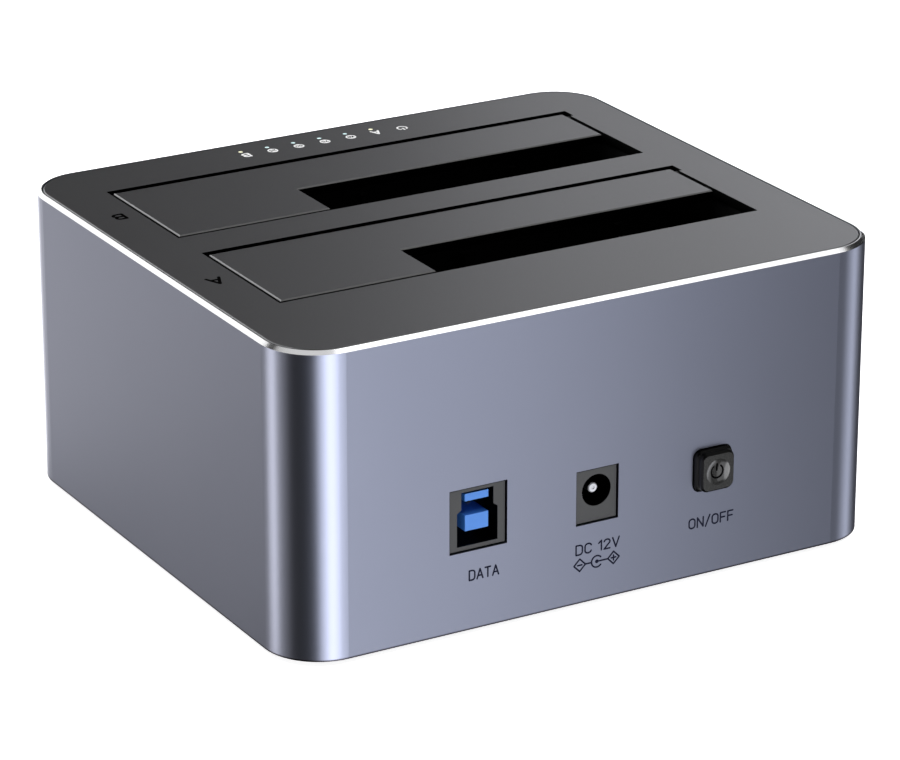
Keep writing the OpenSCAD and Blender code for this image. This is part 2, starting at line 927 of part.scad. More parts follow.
module well_inside(bay) {
    front = bay_front_y(bay) - well_gap;
    root = front - well_t/2;
    for (x = rest_x)
        translate([x - rest_t/2, root, hinge_z - rest_to])
            cube([rest_t, hinge_y(bay) + rest_y - root, rest_to - rest_from]);
    translate([spring_x - pad_w/2, root, hinge_z - flap_leg_l])
        cube([pad_w, hinge_y(bay) - flap_coil_r - wire_r - spring_clear - root, flap_leg_l - pad_from]);
    for (side = [0, 1])
        mirror([side, 0, 0])
            translate([well_half - ledge_l, root, z_floor - well_floor_t/2])
                cube([ledge_l + well_t/2, bay_w + 2*well_gap + well_t, ledge_h + well_floor_t/2]);
}

module front_drive_well() {
    color([0.13, 0.13, 0.14])
        drive_well(FRONT);
}

module rear_drive_well() {
    color([0.13, 0.13, 0.14])
        drive_well(REAR);
}

// Main board and drive sockets

module main_board() {
    color("darkgreen")
        difference() {
            translate([-board_half, board_front, z_board - board_t])
                cube([2*board_half, board_rear - board_front, board_t]);
            at_standoffs()
                translate([0, 0, z_board - 2*board_t])
                    cylinder(h = 3*board_t, r = board_screw[0] + fit_gap);
        }
}

module at_socket(bay) {
    translate([socket_x, bay_rear_y(bay) - socket_inset, z_board])
        children();
}

// One L-shaped slot, from its left end
module blade_slot(l) {
    translate([0, blade_wall - socket_w/2 + blade_foot, socket_h - blade_depth]) {
        cube([l, blade_w, blade_depth + 1]);
        translate([0, -blade_foot, 0])
            cube([blade_w, blade_foot + 1, blade_depth + 1]);
    }
}

module sata_socket(bay) {
    at_socket(bay)
        difference() {
            translate([-socket_l/2, -socket_w/2, 0])
                cube([socket_l, socket_w, socket_h]);
            translate([-blades_l/2, 0, 0])
                blade_slot(signal_l);
            translate([blades_l/2 - power_l, 0, 0])
                blade_slot(power_l);
        }
}

module contact_row(l, n) {
    wall_y = blade_wall - socket_w/2 + blade_foot + blade_w;
    first = (l - (n - 1)*contact_pitch)/2;
    for (i = [0:n - 1])
        translate([first + i*contact_pitch - contact_w/2, wall_y - contact_t, socket_h - blade_depth])
            cube([contact_w, contact_t, contact_h]);
}

module sata_contacts(bay) {
    at_socket(bay) {
        translate([-blades_l/2, 0, 0])
            contact_row(signal_l, signal_n);
        translate([blades_l/2 - power_l, 0, 0])
            contact_row(power_l, power_n);
    }
}

module front_sata_socket() {
    color("black")
        sata_socket(FRONT);
}

module rear_sata_socket() {
    color("black")
        sata_socket(REAR);
}

module front_sata_contacts() {
    color("gold")
        sata_contacts(FRONT);
}

module rear_sata_contacts() {
    color("gold")
        sata_contacts(REAR);
}

// Data port

module at_usb() {
    translate([usb_x, rear_y - port_inset, z_board])
        children();
}

module key_prism(in, l) {
    wide = key_wide/2 - in;
    narrow = key_narrow/2 - in;
    shoulder = key_low + key_wide_h;
    rotate([90, 0, 0])
        linear_extrude(l)
            polygon([
                [-wide, key_low + in], [wide, key_low + in], [wide, shoulder - in],
                [narrow, shoulder + key_shoulder - in], [narrow, key_low + key_h - in],
                [-narrow, key_low + key_h - in], [-narrow, shoulder + key_shoulder - in],
                [-wide, shoulder - in]
            ]);
}

module usb_shell() {
    color([0.3, 0.3, 0.3])
        at_usb()
            difference() {
                translate([-usb_w/2, -usb_depth, 0])
                    cube([usb_w, usb_depth, usb_h]);
                translate([0, 1, 0])
                    key_prism(0, key_depth + 1);
            }
}

module usb_tongue() {
    reach = key_depth - insert_t - insert_inset;
    color("royalblue")
        at_usb() {
            translate([0, insert_t - key_depth, 0])
                key_prism(fit_gap, insert_t);
            translate([-tongue_w/2, insert_t - key_depth - 1, key_low + tongue_z])
                cube([tongue_w, reach + 1, tongue_h]);
            translate([-block_w/2, insert_t - key_depth - 1, key_low + block_z])
                cube([block_w, reach + 1, block_h]);
        }
}

module usb_contacts() {
    front = -insert_inset - pad_back;
    color("gold")
        at_usb() {
            for (x = [-1, 1], z = [key_low + tongue_z - pad_t, key_low + tongue_z + tongue_h])
                translate([x*tongue_w/4 - contact_w/2, front - pad_l, z])
                    cube([contact_w, pad_l, pad_t]);
            for (i = [-2:2])
                translate([i*block_w/5 - contact_t, front - pad_l, key_low + block_z - pad_t])
                    cube([2*contact_t, pad_l, pad_t]);
        }
}

// Power inlet

module at_jack() {
    translate([jack_x, rear_y - port_inset, z_board])
        children();
}

module along_y(r, l) {
    rotate([90, 0, 0])
        cylinder(h = l, r = r);
}

module dc_jack_body() {
    color([0.3, 0.3, 0.3])
        at_jack()
            difference() {
                union() {
                    translate([-jack_w/2, -jack_face_t, 0])
                        cube([jack_w, jack_face_t, jack_h]);
                    translate([-jack_round_r, -jack_depth, 0])
                        cube([2*jack_round_r, jack_depth - 1, jack_axis_h]);
                    translate([0, -1, jack_axis_h])
                        along_y(jack_round_r, jack_depth - 1);
                }
                translate([0, 1, jack_axis_h])
                    along_y(jack_bore_r, jack_bore_l + 1);
                translate([-leaf_w/2 - fit_gap, -jack_bore_l, jack_axis_h - jack_bore_r - leaf_t])
                    cube([leaf_w + 2*fit_gap, leaf_l, jack_bore_r]);
            }
}

// A flat-ended pin with a small centre mark
module dc_jack_pin() {
    tip = jack_bore_l - jack_pin_back;
    shank = tip - jack_pin_bevel;
    color("silver")
        at_jack()
            translate([0, -jack_bore_l, jack_axis_h])
                difference() {
                    union() {
                        translate([0, shank, 0])
                            along_y(jack_pin_r, shank);
                        translate([0, shank, 0])
                            rotate([-90, 0, 0])
                                cylinder(h = jack_pin_bevel, r1 = jack_pin_r, r2 = jack_pin_r - jack_pin_bevel);
                        translate([0, tip, 0])
                            along_y(jack_pin_r - jack_pin_bevel, tip);
                    }
                    translate([0, tip + 1, 0])
                        along_y(jack_pin_dot_r, jack_pin_dot_depth + 1);
                }
}

module dc_jack_contact() {
    color("silver")
        at_jack()
            translate([-leaf_w/2, -jack_bore_l, jack_axis_h - jack_bore_r - leaf_t])
                cube([leaf_w, leaf_l - fit_gap, leaf_t]);
}

// Buttons and switches

module cap_block(w, d, h) {
    round_slab(w, d, cap_corner_r, h - cap_bevel);
    translate([0, 0, h - cap_bevel])
        bevel_slab(w, d, cap_corner_r, cap_bevel, cap_bevel);
}

// A push cap that faces along +Z, with the housing's face at zero
module push_cap(stem) {
    flange_z = -wall_t - flange_gap - flange_t;
    dish_r = (dimple_r^2 + dimple_depth^2)/(2*dimple_depth);
    difference() {
        union() {
            translate([0, 0, flange_z]) {
                round_slab(flange_w, flange_w, cap_corner_r, flange_t);
                cap_block(cap_w, cap_w, cap_step_h - flange_z);
                cap_block(cap_face_w, cap_face_h, cap_h - flange_z);
            }
            if (stem > 0)
                translate([-stem_w/2, -stem_w/2, flange_z - stem])
                    cube([stem_w, stem_w, stem + flange_t/2]);
        }
        translate([0, 0, cap_h + dish_r - dimple_depth])
            rotate([90, 0, 0])
                sphere(dish_r);
        if (stem > 0)
            translate([-plunger_w/2 - screw_gap, -plunger_w/2 - screw_gap, flange_z - stem - 1])
                cube([plunger_w + 2*screw_gap, plunger_w + 2*screw_gap, stem + 1]);
    }
}

module at_power_button() {
    translate([switch_x, 0, z_board + switch_axis_h])
        children();
}

module power_button() {
    color([0.2, 0.2, 0.2])
        at_power_button()
            translate([0, rear_y, 0])
                rotate([-90, 0, 0])
                    push_cap(stem_l);
}

module power_switch() {
    hole = plunger_w + 2*plunger_gap;
    color("black")
        at_power_button()
            difference() {
                translate([-switch_size.x/2, switch_front - switch_size.y, -switch_axis_h])
                    cube(switch_size);
                translate([-hole/2, switch_front - switch_well, -hole/2])
                    cube([hole, switch_well + 1, hole]);
            }
}

module power_switch_plunger() {
    color("white")
        at_power_button()
            translate([-plunger_w/2, switch_front - plunger_in, -plunger_w/2])
                cube([plunger_w, plunger_in + switch_spring_l + stem_l, plunger_w]);
}

module power_switch_spring() {
    echo(switch_spring_least_gap = least_gap(switch_spring_path()));
    color("silver")
        at_power_button()
            wire_tube(switch_spring_path(), [0, 1, 0]);
}

module at_clone_button() {
    translate([clone_x, 0, z_board + tact_axis_h])
        children();
}

module clone_button() {
    color([0.2, 0.2, 0.2])
        at_clone_button()
            translate([0, -rear_y, 0])
                rotate([90, 0, 0])
                    push_cap(0);
}

module clone_switch() {
    color("black")
        at_clone_button()
            difference() {
                translate([-tact_size.x/2, tact_front, -tact_axis_h])
                    cube(tact_size);
                translate([0, tact_front + tact_stem_in + clone_travel + tact_gap, 0])
                    along_y(tact_stem_r + tact_gap, 3*tact_stem_in);
            }
}

module clone_switch_stem() {
    color("white")
        at_clone_button()
            translate([0, tact_front + tact_stem_in, 0])
                along_y(tact_stem_r, tact_front + tact_stem_in - clone_flange);
}

// Lamps

module lamp_board() {
    color("darkgreen")
        difference() {
            translate([lamp_board_x - lamp_board_size.x/2, lamp_board_y - lamp_board_size.y/2,
                       z_lamp_board - lamp_board_size.z])
                cube(lamp_board_size);
            for (x = lamp_boss_x)
                translate([x, lamp_board_y, z_lamp_board - 2*lamp_board_size.z])
                    cylinder(h = 3*lamp_board_size.z, r = small_screw[0] + fit_gap);
        }
}

module lamp_chips() {
    color("ivory")
        at_lamps([0:lamp_n - 1])
            translate([-lamp_chip.x/2, -lamp_chip.y/2, z_lamp_board])
                cube(lamp_chip);
}

module light_guides(numbers) {
    low = z_lamp_board + lamp_chip.z + guide_room;
    at_lamps(numbers) {
        translate([0, 0, low])
            cylinder(h = z_top - low, r = guide_r);
        translate([0, 0, z_panel - collar_h])
            cylinder(h = collar_h, r = collar_r);
    }
}

module drive_light_guides() {
    color("lemonchiffon")
        light_guides([0, lamp_n - 1]);
}

module progress_light_guides() {
    color("paleturquoise")
        light_guides([1:lamp_n - 2]);
}

// A flat lead that bows forward between its two sockets
module ribbon_cable() {
    rise = ribbon_high - ribbon_low;
    centre = [for (k = [0:ribbon_steps])
        [ribbon_y - ribbon_bow*(1 - cos(360*k/ribbon_steps))/2, ribbon_low + rise*k/ribbon_steps]];
    half = [ribbon_t/2, 0];
    outline = concat([for (p = centre) p + half],
                     [for (k = [ribbon_steps:-1:0]) centre[k] - half]);
    color("whitesmoke")
        translate([ribbon_x - ribbon_w/2, 0, 0])
            rotate([90, 0, 90])
                linear_extrude(ribbon_w)
                    polygon(outline);
}

module ribbon_sockets() {
    mouth = [ribbon_w + 2*fit_gap, ribbon_t + 2*fit_gap, ribbon_in + fit_gap];
    under = z_lamp_board - lamp_board_size.z - ribbon_socket.z;
    color("beige")
        for (place = [[z_board, ribbon_socket.z - mouth.z], [under, -1]])
            translate([ribbon_x, ribbon_y, place[0]])
                difference() {
                    translate([-ribbon_socket.x/2, -ribbon_socket.y/2, 0])
                        cube(ribbon_socket);
                    translate([-mouth.x/2, -mouth.y/2, place[1]])
                        cube([mouth.x, mouth.y, mouth.z + 1]);
                }
}

// Parts on the main board

module on_board(at, size) {
    translate([at.x - size.x/2, at.y - size.y/2, z_board])
        cube(size);
}

module bridge_chip() {
    color([0.15, 0.15, 0.15])
        on_board(chip_at, chip_size);
}

module crystal() {
    color("silver")
        translate([crystal_at.x, crystal_at.y, z_board])
            round_slab(crystal_size.x, crystal_size.y, crystal_size.y/2 - fit_gap, crystal_size.z);
}

module regulator_coils() {
    color("gray")
        for (at = coil_at)
            translate([at.x, at.y, z_board])
                round_slab(coil_size.x, coil_size.y, coil_bevel, coil_size.z);
}

module capacitors() {
    color("lightgray")
        for (at = can_at) {
            on_board(at, [2*can_r, 2*can_r, can_foot_h]);
            translate([at.x, at.y, z_board])
                cylinder(h = can_h, r = can_r);
        }
}

// Screws

module base_screws() {
    color("silver")
        at_corners()
            translate([0, 0, z_bottom + head_depth])
                screw(base_screw);
}

module board_screws() {
    color("silver")
        at_standoffs()
            translate([0, 0, z_board])
                mirror([0, 0, 1])
                    screw(board_screw);
}

module well_screws() {
    color("silver")
        for (bay = [REAR, FRONT])
            at_lugs(bay)
                translate([0, 0, z_panel - boss_h - lug_t])
                    screw(small_screw);
}

module lamp_board_screws() {
    color("silver")
        for (x = lamp_boss_x)
            translate([x, lamp_board_y, z_lamp_board - lamp_board_size.z])
                screw(small_screw);
}

housing();
top_panel();
base_cover();
feet();
front_flap();
rear_flap();
front_flap_pin();
rear_flap_pin();
front_flap_spring();
rear_flap_spring();
front_drive_well();
rear_drive_well();
main_board();
front_sata_socket();
rear_sata_socket();
front_sata_contacts();
rear_sata_contacts();
usb_shell();
usb_tongue();
usb_contacts();
dc_jack_body();
dc_jack_pin();
dc_jack_contact();
power_button();
power_switch();
power_switch_plunger();
power_switch_spring();
clone_button();
clone_switch();
clone_switch_stem();
lamp_board();
lamp_chips();
drive_light_guides();
progress_light_guides();
ribbon_cable();
ribbon_sockets();
bridge_chip();
crystal();
regulator_coils();
capacitors();
base_screws();
board_screws();
well_screws();
lamp_board_screws();
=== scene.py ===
import json
import math

import bmesh
import bpy
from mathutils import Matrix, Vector
from mathutils.geometry import delaunay_2d_cdt


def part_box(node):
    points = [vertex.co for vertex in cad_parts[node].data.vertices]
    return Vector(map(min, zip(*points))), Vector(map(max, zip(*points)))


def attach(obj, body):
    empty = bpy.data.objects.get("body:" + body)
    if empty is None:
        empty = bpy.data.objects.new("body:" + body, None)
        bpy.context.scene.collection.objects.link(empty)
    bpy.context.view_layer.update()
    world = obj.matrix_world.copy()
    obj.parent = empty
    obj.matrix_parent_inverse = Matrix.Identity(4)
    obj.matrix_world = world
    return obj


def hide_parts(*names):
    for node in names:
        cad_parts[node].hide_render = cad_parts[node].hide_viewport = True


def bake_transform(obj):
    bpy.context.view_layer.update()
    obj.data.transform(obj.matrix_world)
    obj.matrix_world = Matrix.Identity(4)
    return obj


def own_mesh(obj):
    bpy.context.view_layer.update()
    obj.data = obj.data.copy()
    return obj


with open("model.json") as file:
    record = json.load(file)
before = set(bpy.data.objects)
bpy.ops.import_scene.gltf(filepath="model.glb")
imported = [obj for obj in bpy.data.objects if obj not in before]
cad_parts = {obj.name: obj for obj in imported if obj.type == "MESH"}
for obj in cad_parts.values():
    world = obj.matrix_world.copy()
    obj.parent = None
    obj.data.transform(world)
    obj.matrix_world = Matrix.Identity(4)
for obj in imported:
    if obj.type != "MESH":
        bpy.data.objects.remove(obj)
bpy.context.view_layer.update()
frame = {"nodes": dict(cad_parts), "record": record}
nodes = frame["nodes"]

# Pieces and materials are laid out in millimetres, lights and the camera in metres
MM = 0.001
LOW, HIGH = 0, 1
Z_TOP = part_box("housing")[HIGH].z/MM
Z_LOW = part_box("housing")[LOW].z/MM
REAR_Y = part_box("housing")[HIGH].y/MM
PORT_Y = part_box("usb_shell")[HIGH].y/MM
DISH_R, DISH_DEPTH = 2.6, 0.6
WIRE_R, WIRE_SIDES = 0.2, 12
INK_THICK, INK_SUNK = 0.025, 0.015
LETTER_GAP = 0.24

# The photograph's camera, with its focal length and shift in pixels
IMAGE_W, FOCAL, SHIFT = 900, 4248, (5, -25)
AZIMUTH, ELEVATION = math.radians(150.13), math.radians(20.88)
DISTANCE, AIM_Z = 0.8295, 0.031
SENSOR_W = 36


def make_camera():
    back = Vector((
        math.sin(AZIMUTH)*math.cos(ELEVATION),
        -math.cos(AZIMUTH)*math.cos(ELEVATION),
        math.sin(ELEVATION),
    ))
    data = bpy.data.cameras.new("camera")
    data.sensor_fit = "HORIZONTAL"
    data.sensor_width = SENSOR_W
    data.lens = SENSOR_W*FOCAL/IMAGE_W
    data.shift_x, data.shift_y = SHIFT[0]/IMAGE_W, SHIFT[1]/IMAGE_W
    data.clip_end = 20
    camera = bpy.data.objects.new("camera", data)
    camera.location = Vector((0, 0, AIM_Z)) + DISTANCE*back
    camera.rotation_euler = back.to_track_quat("Z", "Y").to_euler()
    bpy.context.scene.collection.objects.link(camera)
    bpy.context.scene.camera = camera


# Studio

def soft_box(name, place, aim, size, level, colour=(1, 1, 1)):
    """An area light that a mirror shows with this brightness."""
    data = bpy.data.lights.new(name, "AREA")
    data.shape = "RECTANGLE"
    data.size, data.size_y = size
    data.energy = math.pi*size[0]*size[1]*level
    data.color = colour
    box = bpy.data.objects.new(name, data)
    box.location = place
    box.rotation_euler = (Vector(place) - Vector(aim)).to_track_quat("Z", "Y").to_euler()
    box.visible_camera = False
    bpy.context.scene.collection.objects.link(box)


def make_floor():
    half = 4
    corners = [(-half, -half, 0), (half, -half, 0), (half, half, 0), (-half, half, 0)]
    mesh = bpy.data.meshes.new("floor")
    mesh.from_pydata(corners, [], [(0, 1, 2, 3)])
    floor = bpy.data.objects.new("floor", mesh)
    bpy.context.scene.collection.objects.link(floor)
    paint = bpy.data.materials.new("floor_white")
    paint.use_nodes = True
    shader = paint.node_tree.nodes["Principled BSDF"]
    shader.inputs["Base Color"].default_value = (0.9, 0.9, 0.9, 1)
    shader.inputs["Roughness"].default_value = 0.9
    shader.inputs["Specular IOR Level"].default_value = 0.0
    shader.inputs["Emission Color"].default_value = (1, 1, 1, 1)
    shader.inputs["Emission Strength"].default_value = 0.9
    mesh.materials.append(paint)
    # The sleeve's lower reflections look past the floor at the upright boxes
    floor.visible_glossy = False
    floor.visible_shadow = False


# Brightness of the boxes round the dock, by azimuth in degrees from +Y towards +X
REAR_BOXES = {
    -132: 3.9, -84: 0.36, -72: 1.42, -60: 0.71, -48: 0.08, -36: 0.13, -24: 0.92, -12: 0.85,
    0: 2.78, 12: 3.65, 24: 1.75,
}
SIDE_BOXES = {84: 0.29, 96: 0.62, 108: 2.42, 120: 1.27, 144: 0.53}
FRONT_BOXES = {156: 0.83, 168: 1.16, 180: 2.6}
HIGH_BOXES = {204: 0.23, 216: 1.7, 228: 2.02, 240: 5.1}
BOX_ANGLE = 12
BLUISH, NEUTRAL, COOL = (0.92, 0.95, 1.04), (1.0, 0.99, 1.01), (0.98, 0.99, 1.04)

# Place and size of the boxes that the bright cut edge mirrors
EDGE_BOXES = {
    "rear_edge": ((-0.465, 0.356, 0.81), (0.6, 0.6)),
    "side_edge": ((0.32, -0.73, 0.46), (0.5, 0.35)),
    "corner_edge": ((0.03, -0.7, 0.17), (0.3, 0.14)),
}
EDGE_LEVEL, OVERHEAD_LEVEL = 3.0, 1.6


def ring_of_boxes(name, levels, radius, z, aim_z, height, colour):
    width = 2*radius*math.tan(math.radians(BOX_ANGLE/2))
    for azimuth, level in levels.items():
        a = math.radians(azimuth)
        place = (radius*math.sin(a), radius*math.cos(a), z)
        soft_box(f"{name}_{azimuth}", place, (0, 0, aim_z), (width, height), level, colour)


def make_studio():
    scene = bpy.context.scene
    scene.view_settings.view_transform = "Standard"
    world = bpy.data.worlds.new("studio")
    scene.world = world
    world.use_nodes = True
    world.node_tree.nodes["Background"].inputs["Color"].default_value = (0.03, 0.03, 0.03, 1)
    make_floor()
    # Low boxes for the sleeve, high ones behind the dock for the sheen on the deck
    ring_of_boxes("rear", REAR_BOXES, 0.42, -0.16, -0.16, 0.52, BLUISH)
    ring_of_boxes("side", SIDE_BOXES, 0.42, -0.053, -0.053, 0.305, NEUTRAL)
    ring_of_boxes("front", FRONT_BOXES, 0.42, -0.025, -0.025, 0.249, NEUTRAL)
    ring_of_boxes("high", HIGH_BOXES, 0.6, 0.29, 0.06, 0.26, COOL)
    soft_box("overhead", (0, 0, 1.3), (0, 0, 0), (1.6, 1.6), OVERHEAD_LEVEL)
    for name, (place, size) in EDGE_BOXES.items():
        soft_box(name, place, (0, 0, 0.06), size, EDGE_LEVEL)


# Materials

class Finish:
    """A procedural material: one principled shader and short calls for the nodes before it."""

    def __init__(self, name, metallic=0.0, **sockets):
        self.made = bpy.data.materials.new(name)
        self.made.use_nodes = True
        self.tree = self.made.node_tree
        self.shader = self.tree.nodes["Principled BSDF"]
        self.set("Metallic", metallic)
        for socket, value in sockets.items():
            self.set(socket.replace("_", " "), value)
        self.coords = self.tree.nodes.new("ShaderNodeTexCoord")
        self.axes = None

    def feed(self, socket, value):
        if isinstance(value, bpy.types.NodeSocket):
            self.tree.links.new(value, socket)
        elif isinstance(value, tuple) and len(value) == 3 and socket.type == "RGBA":
            socket.default_value = (*value, 1)
        else:
            socket.default_value = value

    def set(self, socket, value):
        self.feed(self.shader.inputs[socket], value)

    def math(self, operation, a, b=0.0):
        made = self.tree.nodes.new("ShaderNodeMath")
        made.operation = operation
        self.feed(made.inputs[0], a)
        self.feed(made.inputs[1], b)
        return made.outputs[0]

    def place(self, axis):
        """Object coordinate along x, y or z, in millimetres."""
        if self.axes is None:
            split = self.tree.nodes.new("ShaderNodeSeparateXYZ")
            self.feed(split.inputs[0], self.coords.outputs["Object"])
            self.axes = split.outputs
        return self.math("DIVIDE", self.axes["XYZ".index(axis)], MM)

    def facing(self, axis):
        split = self.tree.nodes.new("ShaderNodeSeparateXYZ")
        self.feed(split.inputs[0], self.coords.outputs["Normal"])
        return split.outputs["XYZ".index(axis)]

    def ramp(self, value, low, high):
        """0 below low, 1 above high, straight between; turned round where low is above high."""
        made = self.tree.nodes.new("ShaderNodeMapRange")
        self.feed(made.inputs["Value"], value)
        made.inputs["From Min"].default_value = low
        made.inputs["From Max"].default_value = high
        return made.outputs["Result"]

    def between(self, value, low, high):
        """A value from 0 to 1 spread over low to high."""
        made = self.tree.nodes.new("ShaderNodeMapRange")
        self.feed(made.inputs["Value"], value)
        made.inputs["To Min"].default_value = low
        made.inputs["To Max"].default_value = high
        return made.outputs["Result"]

    def stretch(self, scale):
        made = self.tree.nodes.new("ShaderNodeMapping")
        self.feed(made.inputs["Vector"], self.coords.outputs["Object"])
        made.inputs["Scale"].default_value = scale
        return made.outputs["Vector"]

    def noise(self, size, detail=2.0, stretch=None):
        """Noise whose lumps are about size millimetres across."""
        made = self.tree.nodes.new("ShaderNodeTexNoise")
        where = self.stretch(stretch) if stretch else self.coords.outputs["Object"]
        self.feed(made.inputs["Vector"], where)
        made.inputs["Scale"].default_value = 1/(size*MM)
        made.inputs["Detail"].default_value = detail
        return made.outputs["Fac"]

    def cells(self, size):
        made = self.tree.nodes.new("ShaderNodeTexVoronoi")
        self.feed(made.inputs["Vector"], self.coords.outputs["Object"])
        made.inputs["Scale"].default_value = 1/(size*MM)
        return made.outputs["Distance"]

    def mix(self, share, a, b):
        made = self.tree.nodes.new("ShaderNodeMix")
        made.data_type = "RGBA"
        self.feed(made.inputs[0], share)
        self.feed(made.inputs[6], a)
        self.feed(made.inputs[7], b)
        return made.outputs[2]

    def blend(self, share, a, b):
        made = self.tree.nodes.new("ShaderNodeMix")
        self.feed(made.inputs[0], share)
        self.feed(made.inputs[2], a)
        self.feed(made.inputs[3], b)
        return made.outputs[0]

    def bump(self, height, depth, strength=1.0):
        """Bump of depth millimetres."""
        made = self.tree.nodes.new("ShaderNodeBump")
        self.feed(made.inputs["Height"], height)
        made.inputs["Distance"].default_value = depth*MM
        made.inputs["Strength"].default_value = strength
        self.set("Normal", made.outputs["Normal"])


def anodised_aluminium():
    """Blasted, tinted walls with painted shade along the lower edge, under a bright cut bevel and
    a grey rim.
    """
    f = Finish("anodised_aluminium", metallic=1.0)
    up = f.facing("Z")
    near_top = f.ramp(f.place("Z"), Z_TOP - 0.7, Z_TOP - 0.66)
    cut = f.math("MULTIPLY", f.ramp(up, 0.3, 0.35), near_top)
    bright = f.mix(f.ramp(up, 0.93, 0.97), (0.36, 0.36, 0.365), (0.14, 0.14, 0.14))
    cloud, grain = f.noise(28, 3), f.noise(0.14, 2)
    wall = f.mix(cloud, (0.335, 0.35, 0.425), (0.355, 0.37, 0.445))
    # Painted shade: the wall turns near black over its lowest 0.2 to 0.4 mm
    painted_lower_edge_shade = f.ramp(f.place("Z"), Z_LOW + 0.4, Z_LOW + 0.2)
    wall = f.mix(painted_lower_edge_shade, wall, (0.06, 0.055, 0.065))
    f.set("Base Color", f.mix(cut, wall, bright))
    f.set("Roughness", f.blend(cut, f.between(grain, 0.27, 0.35), 0.2))
    f.bump(grain, 0.002, 0.5)
    return f.made


def deck_plastic():
    """Satin on top, with painted shade: black below the top and on faces that do not face up, near
    black on bevels that face +Y; and a painted highlight, pale, on bevels that face +X.
    """
    f = Finish("deck_plastic", Specular_IOR_Level=0.5)
    # Painted shade: below the top, and wherever a face does not face up, the plastic is painted
    # black, as a black metal that shows no light
    above_painted_shade = f.ramp(f.place("Z"), Z_TOP - 0.27, Z_TOP - 0.17)
    flat = f.math("MULTIPLY", f.ramp(f.facing("Z"), 0.35, 0.6), above_painted_shade)
    grain, cloud = f.noise(0.16, 3), f.noise(22, 3)
    top = f.mix(cloud, (0.02, 0.02, 0.021), (0.024, 0.024, 0.025))
    # Painted highlight: bevels that face +X are painted pale
    top = f.mix(f.ramp(f.facing("X"), 0.4, 0.6), top, (0.3, 0.3, 0.31))
    # Painted shade: bevels that face +Y are painted near black
    top = f.mix(f.ramp(f.facing("Y"), 0.4, 0.6), top, (0.004, 0.004, 0.004))
    f.set("Base Color", f.mix(flat, (0.0006, 0.0006, 0.0006), top))
    f.set("Metallic", f.math("SUBTRACT", 1.0, flat))
    f.set("Roughness", f.blend(flat, 0.6, f.between(grain, 0.34, 0.46)))
    f.bump(grain, 0.006, 0.4)
    return f.made


def moulded(name, colour, rough=(0.45, 0.6), grain_size=0.3, depth=0.01):
    """Plain moulded plastic: a fine spark-eroded grain and a slow change of shade."""
    f = Finish(name)
    grain, cloud, change = f.noise(grain_size, 3), f.noise(12, 2), 0.12
    darker = tuple(c*(1 - change) for c in colour)
    lighter = tuple(c*(1 + change) for c in colour)
    f.set("Base Color", f.mix(cloud, darker, lighter))
    f.set("Roughness", f.between(grain, *rough))
    f.bump(grain, depth, 0.5)
    return f.made


def metal(name, colour, rough=(0.2, 0.32), stretch=(1, 1, 1)):
    """Drawn or plated metal: fine lines along the way that the noise is stretched."""
    f = Finish(name, metallic=1.0)
    lines, cloud = f.noise(0.4, 3, stretch), f.noise(6, 2)
    f.set("Base Color", f.mix(cloud, tuple(c*0.9 for c in colour), colour))
    f.set("Roughness", f.between(lines, *rough))
    f.bump(lines, 0.002, 0.4)
    return f.made


def port_plastic():
    """Grey at the port's face, with painted shade inside the hole: black, as a black metal that
    shows no light.
    """
    f = Finish("port_grey")
    # Painted shade: deeper than 0.2 mm behind the face, the plastic is painted black
    front = f.ramp(f.place("Y"), PORT_Y - 0.2, PORT_Y - 0.1)
    grain, cloud = f.noise(0.2, 3), f.noise(5, 2)
    face = f.mix(cloud, (0.04, 0.04, 0.039), (0.048, 0.048, 0.047))
    f.set("Base Color", f.mix(front, (0.0008, 0.0008, 0.001), face))
    f.set("Metallic", f.math("SUBTRACT", 1.0, front))
    f.set("Roughness", f.blend(front, 0.7, f.between(grain, 0.45, 0.6)))
    f.bump(grain, 0.006, 0.5)
    return f.made


def board_green():
    """Solder resist with fine copper runs showing through, and fine glass weave."""
    f = Finish("board_green")
    runs = f.ramp(f.cells(2.6), 0.46, 0.5)
    weave, cloud = f.noise(0.25, 2), f.noise(9, 2)
    resist = f.mix(cloud, (0.012, 0.1, 0.045), (0.018, 0.13, 0.06))
    f.set("Base Color", f.mix(runs, resist, (0.03, 0.2, 0.09)))
    f.set("Roughness", f.between(weave, 0.28, 0.4))
    f.bump(runs, 0.02, 0.6)
    return f.made


def cap_plastic():
    """Satin on the pressed face; painted shade on the sides, near black, with a painted highlight,
    dark grey, on the side that faces +X.
    """
    f = Finish("button_plastic", Specular_IOR_Level=1.0, Specular_Tint=(1.0, 0.98, 0.91))
    face = f.ramp(f.math("ABSOLUTE", f.facing("Y")), 0.82, 0.92)
    grain, cloud = f.noise(0.15, 3), f.noise(4, 2)
    # Painted shade on the sides, near black as a black metal, and painted light on the side that
    # faces +X
    painted_flank_light_and_shade = f.mix(f.ramp(f.facing("X"), 0.5, 0.8), (0.004, 0.004, 0.004), (0.055, 0.053, 0.055))
    pressed = f.mix(cloud, (0.014, 0.014, 0.014), (0.018, 0.018, 0.017))
    f.set("Base Color", f.mix(face, painted_flank_light_and_shade, pressed))
    f.set("Metallic", f.math("SUBTRACT", 1.0, face))
    f.set("Roughness", f.blend(face, 0.5, f.between(grain, 0.13, 0.17)))
    f.bump(grain, 0.0005, 0.3)
    return f.made


def insert_plastic():
    """Blue, deeper on the faces that lie in the port's shade."""
    f = Finish("insert_blue", Specular_IOR_Level=0.4)
    front, cloud, grain = f.ramp(f.facing("Y"), 0.5, 0.8), f.noise(3, 2), f.noise(0.2, 3)
    lit = f.mix(cloud, (0.052, 0.185, 0.52), (0.06, 0.2, 0.57))
    f.set("Base Color", f.mix(front, (0.035, 0.15, 0.5), lit))
    f.set("Roughness", f.between(grain, 0.35, 0.45))
    f.bump(grain, 0.004, 0.5)
    return f.made


